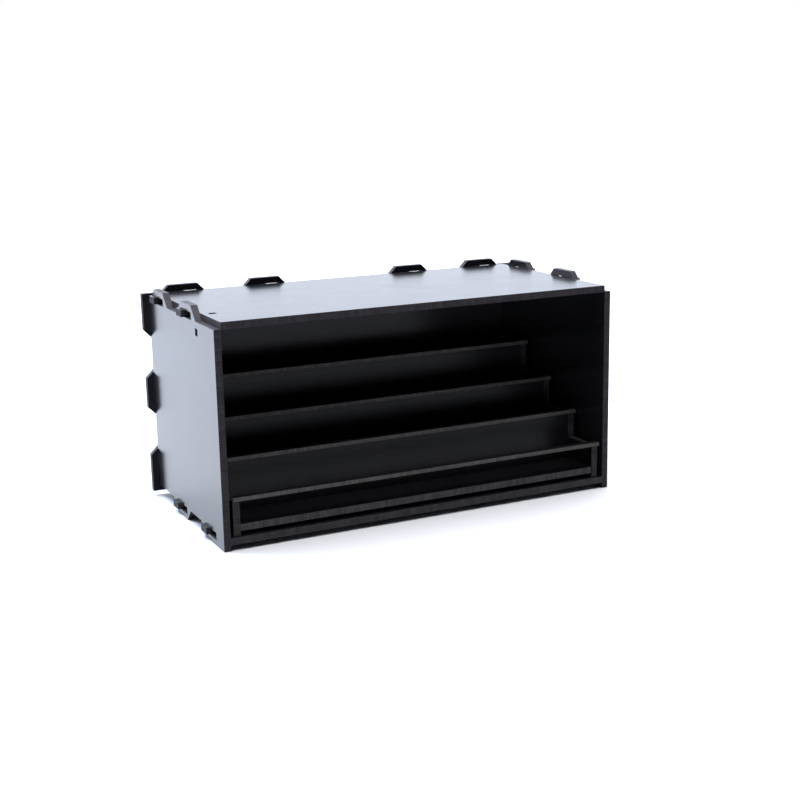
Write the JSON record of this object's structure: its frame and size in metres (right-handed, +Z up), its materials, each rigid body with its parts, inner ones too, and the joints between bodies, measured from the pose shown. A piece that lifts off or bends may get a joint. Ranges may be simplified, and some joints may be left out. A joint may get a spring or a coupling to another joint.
{
  "type": "paint rack organizer",
  "caption": "Stackable black bench module of interlocking sheets with a stepped, slide-out rack that holds rows of small paint pots behind low rails.",
  "frame": {"origin": "on the floor, in the middle of the module's overall width and depth", "axes": "+X to the right seen from the open front, +Y towards the back, +Z up"},
  "size_m": [0.384, 0.1898, 0.1944],
  "materials": {
    "case_board": "black fibreboard, smooth satin-gloss faces, sawn matt edges",
    "rack_board": "black fibreboard, smooth satin faces, sawn matt edges"
  },
  "bodies": {
    "case": {"panel_left": "case_board", "panel_right": "case_board", "panel_top": "case_board", "panel_bottom": "case_board", "panel_back": "case_board"},
    "rack": {"end_plate_left": "rack_board", "end_plate_right": "rack_board", "rib_left": "rack_board", "rib_right": "rack_board", "rail_1": "rack_board", "rail_2": "rack_board", "rail_3": "rack_board", "rail_4": "rack_board", "shelf_1": "rack_board", "shelf_2": "rack_board", "shelf_3": "rack_board", "shelf_4": "rack_board", "riser_2": "rack_board", "riser_3": "rack_board", "riser_4": "rack_board", "rear_fence": "rack_board"}
  },
  "joints": [
    {"name": "rack_slide", "type": "slide", "parent": "case", "child": "rack", "axis": [0, -1, 0], "range_m": [0, 0.165]}
  ]
}
